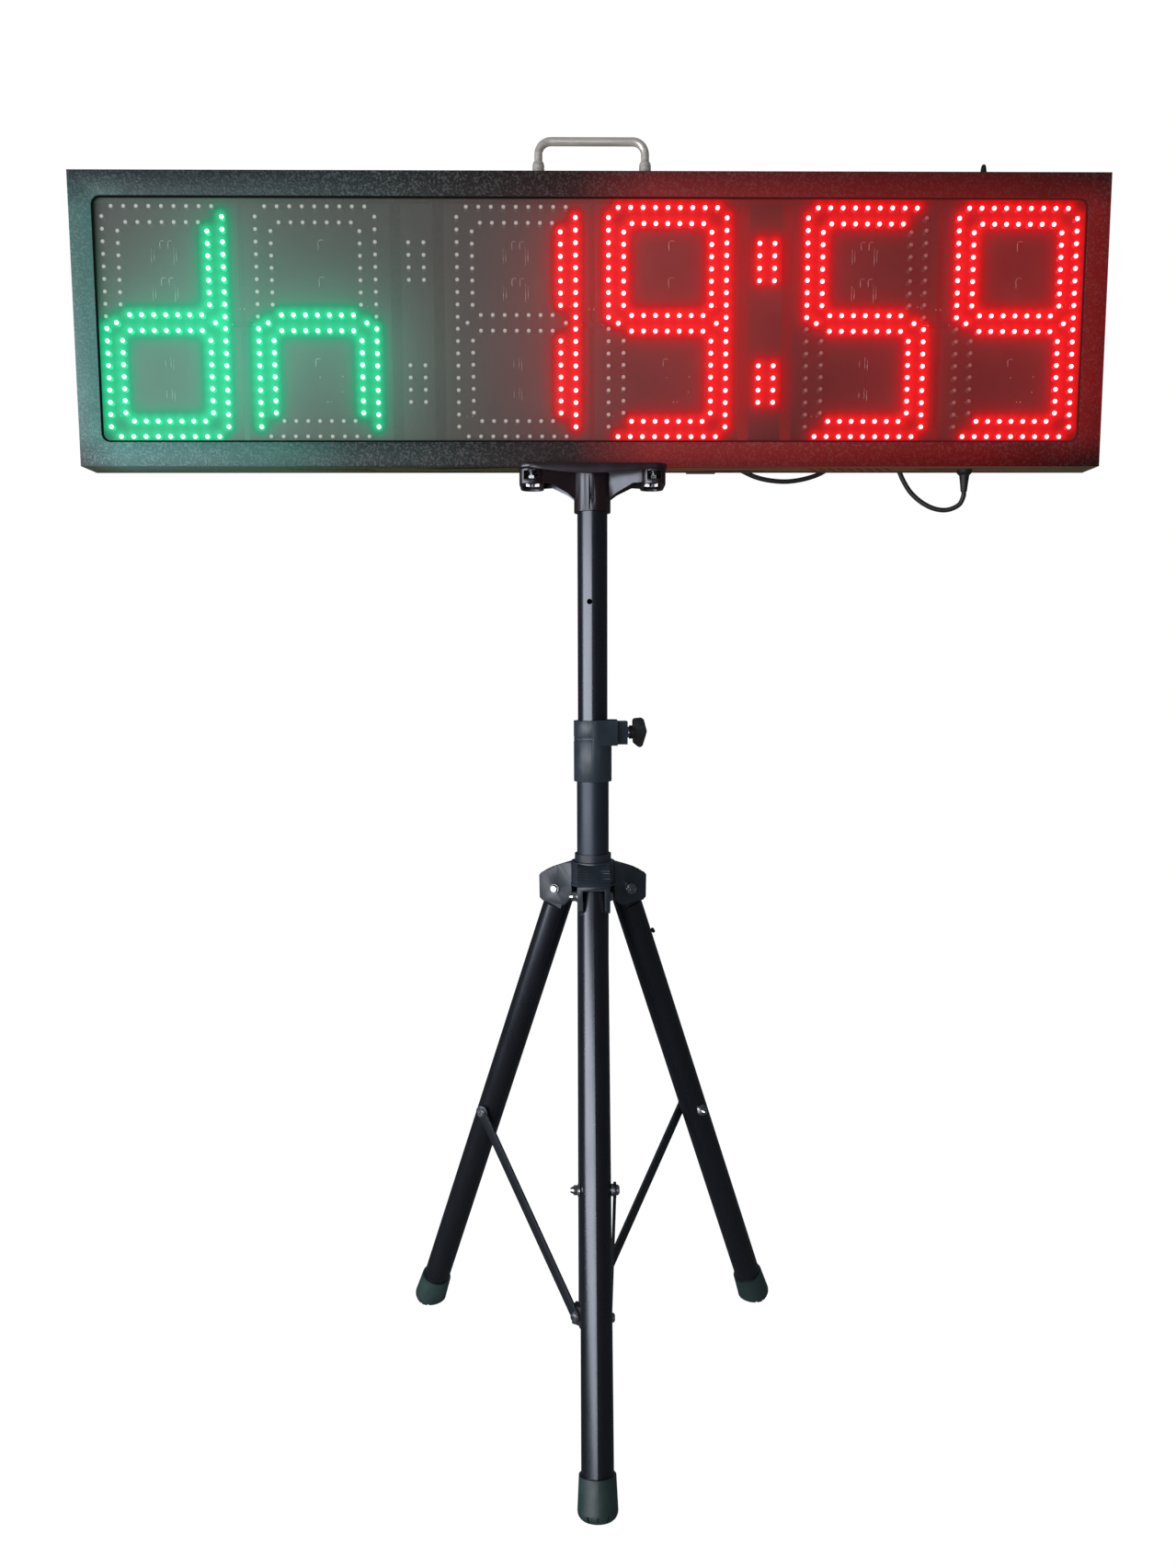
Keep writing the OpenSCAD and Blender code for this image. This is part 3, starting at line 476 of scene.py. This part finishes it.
def lathe(bm, profile, origin, axis, segments, values=None, layer=None):
    """Turns (radius, height) pairs round an axis. A radius of 0 closes an end."""
    turn = Vector((0, 0, 1)).rotation_difference(Vector(axis)).to_matrix()
    rings = []
    for k, (r, h) in enumerate(profile):
        if r == 0:
            ring = [bm.verts.new(Vector(origin) + turn @ Vector((0, 0, h)))]
        else:
            ring = [
                bm.verts.new(Vector(origin) + turn @ Vector((r * math.cos(a), r * math.sin(a), h)))
                for a in (2 * math.pi * i / segments for i in range(segments))
            ]
        if layer is not None:
            for v in ring:
                v[layer] = values[k]
        rings.append(ring)
    for a, b in zip(rings, rings[1:]):
        for i in range(segments):
            j = (i + 1) % segments
            if len(a) == 1 and len(b) == 1:
                continue
            if len(a) == 1:
                bm.faces.new((a[0], b[j], b[i]))
            elif len(b) == 1:
                bm.faces.new((a[i], a[j], b[0]))
            else:
                bm.faces.new((a[i], a[j], b[j], b[i]))
    for ring, flip in ((rings[0], True), (rings[-1], False)):
        if len(ring) > 1:
            bm.faces.new(list(reversed(ring)) if flip else ring)


def grid_points(bm, lo, hi, y, nx, nz):
    """Points spread evenly over the upright rectangle from lo to hi, in columns."""
    xs = [lo.x + (hi.x - lo.x) * i / nx for i in range(nx + 1)]
    zs = [lo.z + (hi.z - lo.z) * j / nz for j in range(nz + 1)]
    return [[bm.verts.new((x, y, z)) for z in zs] for x in xs]


# ---------- LEDs ----------

LED_R = 2.5 * MM
LED_FLANGE_R = 1.14 * LED_R
LED_FLANGE = 1.1 * MM
LED_LENGTH = led_box[1].y - TIP_Y
LED_ACROSS = 6.2 * MM
CELL = 8 * MM


def led_centres(node):
    """Centres (x, z) of the LEDs of a node: the middle of each group of points at the tips' height."""
    groups = {}
    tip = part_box(node)[0].y + 0.2 * MM
    for v in nodes[node].data.vertices:
        if v.co.y > tip:
            continue
        x, z = v.co.x, v.co.z
        i, j = round(x / CELL), round(z / CELL)
        home = None
        for cell in ((i + di, j + dj) for di in (-1, 0, 1) for dj in (-1, 0, 1)):
            for group in groups.get(cell, []):
                if math.hypot(group[0][0] - x, group[0][1] - z) < LED_ACROSS:
                    home = group
        if home is None:
            home = []
            groups.setdefault((i, j), []).append(home)
        home.append((x, z))
    return [
        ((min(x for x, z in group) + max(x for x, z in group)) / 2,
         (min(z for x, z in group) + max(z for x, z in group)) / 2)
        for cell in groups.values() for group in cell
    ]


# How the unlit LEDs' painted highlight fades towards the red digits, where the window gets less daylight
UNLIT_FADE = [
    (0.0, WHITE), (0.5, (0.9, 0.85, 0.85)), (0.62, (0.45, 0.24, 0.24)), (1.0, (0.36, 0.14, 0.14)),
]


def led_material(name, core, rim, strength, fade=None):
    """A lens that shines at its core, where the mesh says so, and faintly at its rim; on the unlit LEDs
    this shine is a painted highlight.
    """
    p = Paint(name, rim, 0.25)
    light = p.blend("MIX", (*shade(rim, 0.07), 1), (*core, 1), p.attribute("core"))
    if fade is not None:
        light = p.blend("MULTIPLY", light, p.ramp(p.across(0, frame_box[0].x, frame_box[1].x), fade))
    p.shine(light, strength)
    p.roughen(700, 0.05, 0.0002)
    return p


led_paints = {
    "leds_green": led_material("led_green", (0.75, 1.0, 0.93), (0.02, 0.95, 0.42), 5.0),
    "leds_red": led_material("led_red", (1.0, 0.86, 0.88), (1.0, 0.04, 0.09), 5.0),
    # Unlit LEDs are no lamps: their shine is a painted highlight, the daylight caught in their lenses.
    "leds_unlit": led_material("led_unlit", (0.50, 0.52, 0.49), (0.10, 0.10, 0.09), 1.7, UNLIT_FADE),
}
centres = {n: led_centres(n) for n in led_paints}
led_dome = [(0, 0)] + [(LED_R * math.sin(a), LED_R * (1 - math.cos(a))) for a in (0.45, 0.85, 1.2, 1.45)]
led_profile = led_dome + [
    (LED_R, LED_R), (LED_R, LED_LENGTH - LED_FLANGE - 0.1 * MM),
    (LED_FLANGE_R, LED_LENGTH - LED_FLANGE), (LED_FLANGE_R, LED_LENGTH),
]
for n, paint in led_paints.items():
    bm = bmesh.new()
    layer = bm.verts.layers.float.new("core")
    core_depth = LED_R * (0.5 if n == "leds_unlit" else 0.95)
    values = [1 if h < core_depth else 0 for r, h in led_profile]
    for x, z in centres[n]:
        lathe(bm, led_profile, (x, TIP_Y, z), (0, 1, 0), 12, values, layer)
    piece, slot = n.replace("leds_", "led_lenses_"), n.replace("leds_", "led_")
    obj = finish_mesh(bm, piece, "display", [paint.mat])
    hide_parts(n)


# ---------- window, with the glow that the LEDs leave in it ----------

win_lo, win_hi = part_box("window")
FILM_STEP = 2.4 * MM
HALO_REACH = 4.6 * MM
SKIRT_REACH = 9.5 * MM
SKIRT_SHARE = 0.20
HAZE_REACH = 33 * MM


def glow_of(leds, x, z):
    """Glow of a group of lit LEDs at points in the plane of the window: a halo and a wide haze."""
    halo = np.zeros_like(x)
    haze = np.zeros_like(x)
    for cx, cz in centres[leds]:
        d2 = (x - cx) ** 2 + (z - cz) ** 2
        halo += np.exp(-d2 / (2 * HALO_REACH ** 2)) + SKIRT_SHARE * np.exp(-d2 / (2 * SKIRT_REACH ** 2))
        haze += np.exp(-np.sqrt(d2) / HAZE_REACH)
    return halo, haze


def glow_attributes(mesh):
    """Stores the glow of the lit LEDs at each point of a mesh."""
    co = np.empty(len(mesh.vertices) * 3)
    mesh.vertices.foreach_get("co", co)
    co = co.reshape(-1, 3)
    for colour in ("green", "red"):
        for kind, data in zip(("halo", "haze"), glow_of("leds_" + colour, co[:, 0], co[:, 2])):
            at = mesh.attributes.new("%s_%s" % (colour, kind), "FLOAT", "POINT")
            at.data.foreach_set("value", np.ascontiguousarray(data, dtype=np.float32))


GLOW = {
    "green_halo": (0.0, 0.52, 0.21),
    "green_haze": (0.17, 1.10, 0.68),
    "red_halo": (0.9, 0.004, 0.018),
    "red_haze": (1.12, 0.022, 0.028),
}


def glow_nodes(p, halo, haze):
    """Colour of the LEDs' light on a surface, given how much of the halo and the haze it gets."""
    total = None
    for name, colour in GLOW.items():
        scale = p.tree.nodes.new("ShaderNodeVectorMath")
        scale.operation = "SCALE"
        scale.inputs[0].default_value = shade(colour, halo if name.endswith("halo") else haze)
        p.join(p.attribute(name), scale.inputs["Scale"])
        if total is None:
            total = scale.outputs[0]
        else:
            add = p.tree.nodes.new("ShaderNodeVectorMath")
            add.operation = "ADD"
            p.join(total, add.inputs[0])
            p.join(scale.outputs[0], add.inputs[1])
            total = add.outputs[0]
    return total


# Daylight on the window, along its width
FILM_DAYLIGHT = [
    (0.0, WHITE), (0.3, (0.95, 0.95, 0.93)), (0.42, (0.85, 0.72, 0.69)), (0.54, (0.5, 0.3, 0.3)),
    (0.7, (0.34, 0.16, 0.16)), (1.0, (0.3, 0.12, 0.12)),
]
# What is left of the film's light and of its paint where a halo is strong: this keeps the colour pure
IN_HALO = {
    "green_halo": ((0.15, 1, 0.85), (0.2, 0.4, 0.4)),
    "red_halo": ((1, 0.15, 0.15), (0.4, 0.2, 0.2)),
}
STRONG_HALO = 0.35
acrylic = Paint("smoked_acrylic", (0.014, 0.013, 0.012), 0.13, specular=0.5)
acrylic.set("Alpha", 0.16)
acrylic.vary_colour((0.028, 0.026, 0.025), 14, 0.5, 0.9)
acrylic.vary_rough(8, 0.10, 0.17)
film = Paint("smoked_acrylic_inside", (0.128, 0.127, 0.119), 0.6, specular=0.05)
film.set("Alpha", 0.52)
film.vary_colour((0.150, 0.148, 0.140), 6, 0.4, 0.75)
film.vary_colour((0.142, 0.139, 0.132), 90, 0.5, 0.8)
film.times(film.ramp(film.across(0, win_lo.x, win_hi.x), FILM_DAYLIGHT))
film_light = glow_nodes(film, halo=1.5, haze=0.034)
for halo_name, (light_share, paint_share) in IN_HALO.items():
    near = film.attribute(halo_name)
    keep_light = film.ramp(near, [(0.0, WHITE), (STRONG_HALO, light_share)])
    film_light = film.blend("MULTIPLY", film_light, keep_light)
    film.times(film.ramp(near, [(0.0, WHITE), (STRONG_HALO, paint_share)]))
film.shine(film_light)


def window_piece():
    """The window: clear at its front and rim, with a finely divided inner face that holds the glow."""
    nx = round((win_hi.x - win_lo.x) / FILM_STEP)
    nz = round((win_hi.z - win_lo.z) / FILM_STEP)
    bm = bmesh.new()
    back = grid_points(bm, win_lo, win_hi, win_hi.y, nx, nz)
    for i in range(nx):
        for j in range(nz):
            face = bm.faces.new((back[i][j], back[i][j + 1], back[i + 1][j + 1], back[i + 1][j]))
            face.material_index = 1
    rim = [back[i][0] for i in range(nx)] + [back[nx][j] for j in range(nz)]
    rim += [back[i][nz] for i in range(nx, 0, -1)] + [back[0][j] for j in range(nz, 0, -1)]
    front = [bm.verts.new((v.co.x, win_lo.y, v.co.z)) for v in rim]
    for k in range(len(rim)):
        m = (k + 1) % len(rim)
        bm.faces.new((rim[k], rim[m], front[m], front[k]))
    bm.faces.new(front)
    materials = [acrylic.mat, film.mat]
    obj = finish_mesh(bm, "window_sheet", "display", materials, smooth=False)
    glow_attributes(obj.data)
    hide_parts("window")


window_piece()


# ---------- circuit boards, lit by their LEDs ----------

lit_board = moulded("circuit_board_lit", (0.020, 0.023, 0.021), 0.5, 300, 0.08)
lit_board.shine(glow_nodes(lit_board, halo=0.12, haze=0.003))
# The leads shine faintly: painted light, so that they show pale through the smoked window.
solder_with_painted_light = metal("solder_with_painted_light", (0.78, 0.77, 0.72), 0.42)
solder_with_painted_light.shine((0.8, 0.8, 0.74), 0.10)
BOARD_STEP = 4 * MM
COLON_BOARD_W = 36 * MM


def board_piece(name, lo, hi, nodes_replaced):
    """A board, divided finely enough to hold the glow of its LEDs."""
    nx, nz = round((hi.x - lo.x) / BOARD_STEP), round((hi.z - lo.z) / BOARD_STEP)
    bm = bmesh.new()
    a, b = (grid_points(bm, lo, hi, y, nx, nz) for y in (lo.y, hi.y))
    for g in (a, b):
        for i in range(nx):
            for j in range(nz):
                bm.faces.new((g[i][j], g[i + 1][j], g[i + 1][j + 1], g[i][j + 1]))
    for i in range(nx):
        bm.faces.new((a[i][0], a[i + 1][0], b[i + 1][0], b[i][0]))
        bm.faces.new((a[i][nz], a[i + 1][nz], b[i + 1][nz], b[i][nz]))
    for j in range(nz):
        bm.faces.new((a[0][j], a[0][j + 1], b[0][j + 1], b[0][j]))
        bm.faces.new((a[nx][j], a[nx][j + 1], b[nx][j + 1], b[nx][j]))
    obj = finish_mesh(bm, name, "display", [lit_board.mat], smooth=False)
    glow_attributes(obj.data)
    if nodes_replaced:
        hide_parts(*nodes_replaced)


for i in range(1, 7):
    lo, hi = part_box("digit_board_%d" % i)
    board_piece("lit_digit_board_%d" % i, lo, hi, ["digit_board_%d" % i])
lo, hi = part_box("colon_boards")
board_piece("lit_colon_board_left", lo, Vector((lo.x + COLON_BOARD_W, hi.y, hi.z)), ["colon_boards"])
board_piece("lit_colon_board_right", Vector((hi.x - COLON_BOARD_W, lo.y, lo.z)), hi, [])


def tube_along(bm, points, r, segments):
    """A round wire through the points, closed at both ends."""
    rings = []
    for i, p in enumerate(points):
        a, b = points[max(i - 1, 0)], points[min(i + 1, len(points) - 1)]
        turn = Vector((0, 0, 1)).rotation_difference((b - a).normalized()).to_matrix()
        rings.append([bm.verts.new(p + turn @ Vector((r * math.cos(t), r * math.sin(t), 0)))
                      for t in (2 * math.pi * k / segments for k in range(segments))])
    for a, b in zip(rings, rings[1:]):
        for k in range(segments):
            m = (k + 1) % segments
            bm.faces.new((a[k], a[m], b[m], b[k]))
    bm.faces.new(list(reversed(rings[0])))
    bm.faces.new(rings[-1])


WIRE_R = 0.5 * MM
PAD = [(0, 0), (0.7 * MM, 0.2 * MM), (0.9 * MM, 0.8 * MM), (0.9 * MM, 1.2 * MM)]
LEADS_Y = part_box("digit_board_1")[0].y - 1.2 * MM


def lead_point(x, z):
    """A point just in front of the boards, from millimetres across and up from the display's middle."""
    return Vector((x * MM, LEADS_Y, MID_Z + z * MM))


def hook(bm, x, z, h=9.0, w=4.5):
    """A lead that rises, bends over to the right and ends."""
    bend = [(0, -h / 2), (-0.3, h / 4), (0.8, h / 2 - 0.6), (w * 0.6, h / 2), (w, h / 2 - 1)]
    tube_along(bm, [lead_point(x + dx, z + dz) for dx, dz in bend], WIRE_R, 6)


def line(bm, x, z0, z1):
    tube_along(bm, [lead_point(x, z0), lead_point(x, z1)], WIRE_R * 0.8, 6)


def dot(bm, x, z):
    lathe(bm, PAD, lead_point(x, z), (0, 1, 0), 8)


def left_board_leads(bm, cx):
    """Leads on the left board of a pair, whose middle is at cx."""
    for z in (86, 46):
        hook(bm, cx - 5, z)
        hook(bm, cx + 4, z)
        for dx, low, high in ((-15, -20, -4), (-12, -18, -6), (10, -22, -2), (13, -18, -4)):
            line(bm, cx + dx, z + low, z + high)
    for z in (-42, -76):
        for dx, low, high in ((2, -6, 6), (5, -8, 4), (-4, -5, 3)):
            line(bm, cx + dx, z + low, z + high)


def right_board_leads(bm, cx):
    """Leads and pads on the right board of a pair, whose middle is at cx."""
    for z in (86, 46):
        hook(bm, cx + 2, z, 11, 6)
    hook(bm, cx - 4, -42, 9, 5)
    for x, z in ((0, -58), (26, -57), (8, -85), (12, -85), (25, -74)):
        dot(bm, cx + x, z)


def component_leads():
    """Bent wire leads and pads on the digit boards, and the pins of the links between boards."""
    bm = bmesh.new()
    for k in range(6):
        lo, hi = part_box("digit_board_%d" % (k + 1))
        cx = (lo.x + hi.x) / 2 / MM
        on_left = k % 2 == 0
        if on_left:
            left_board_leads(bm, cx)
        else:
            right_board_leads(bm, cx)
        for x in (-58, -52, 61, 67) if on_left else (-66, -61, 56):
            dot(bm, cx + x, 20 if x > 0 else -101)
    for left_board in (1, 3, 5):
        gap_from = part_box("digit_board_%d" % left_board)[1].x
        gap_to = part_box("digit_board_%d" % (left_board + 1))[0].x
        mid = (gap_from + gap_to) / 2 / MM
        for dx in (-12, -9, -5, -1.7, 1.7, 5, 9, 12):
            dot(bm, mid + dx, 0)
        for dx in (-3, 2):
            dot(bm, mid + dx, 17)
    finish_mesh(bm, "component_leads", "display", [solder_with_painted_light.mat])


component_leads()


# ---------- power lead ----------

LEAD_R = 2.75 * MM
# Points along the lead in millimetres: across, behind the mast's axis and up
ROUTE = [
    (434, 4, 1066), (434, 5, 1060), (430, 8, 1051), (418, 12, 1046), (404, 16, 1048), (390, 20, 1056),
    (378, 24, 1068), (369, 25, 1082), (362, 25, 1096), (351, 25, 1109), (337, 25, 1116), (323, 25, 1118),
    (309, 25, 1116), (296, 25, 1109), (284, 25, 1099), (270, 25, 1090), (252, 25, 1084), (232, 25, 1081),
    (212, 25, 1082), (194, 25, 1086), (178, 25, 1093), (164, 25, 1100), (150, 25, 1103),
]


def along(p, i, t):
    """A point on the smooth curve through the points p, a share t of the way from point i to the next."""
    a, b, c, d = p[max(i - 1, 0)], p[i], p[i + 1], p[min(i + 2, len(p) - 1)]
    square, cube = 2 * a - 5 * b + 4 * c - d, 3 * b - a - 3 * c + d
    return 0.5 * (2 * b + (c - a) * t + square * t * t + cube * t ** 3)


def power_lead():
    """The lead's two bows, from the boot in the underside to the inlet on the rear."""
    route = [Vector((x * MM, MAST_Y + y * MM, z * MM)) for x, y, z in ROUTE]
    fine = [along(route, i, t / 8) for i in range(len(route) - 1) for t in range(8)] + [route[-1]]
    curve = bpy.data.curves.new("power_cord", "CURVE")
    curve.dimensions = "3D"
    curve.bevel_depth = LEAD_R
    curve.bevel_resolution = 5
    curve.use_fill_caps = True
    spline = curve.splines.new("POLY")
    spline.points.add(len(fine) - 1)
    for point, v in zip(spline.points, fine):
        point.co = (*v, 1)
    curve.materials.append(paints["lead"].mat)
    obj = link(bpy.data.objects.new("power_cord", curve))
    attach(obj, "display")
    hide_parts("power_lead")


power_lead()
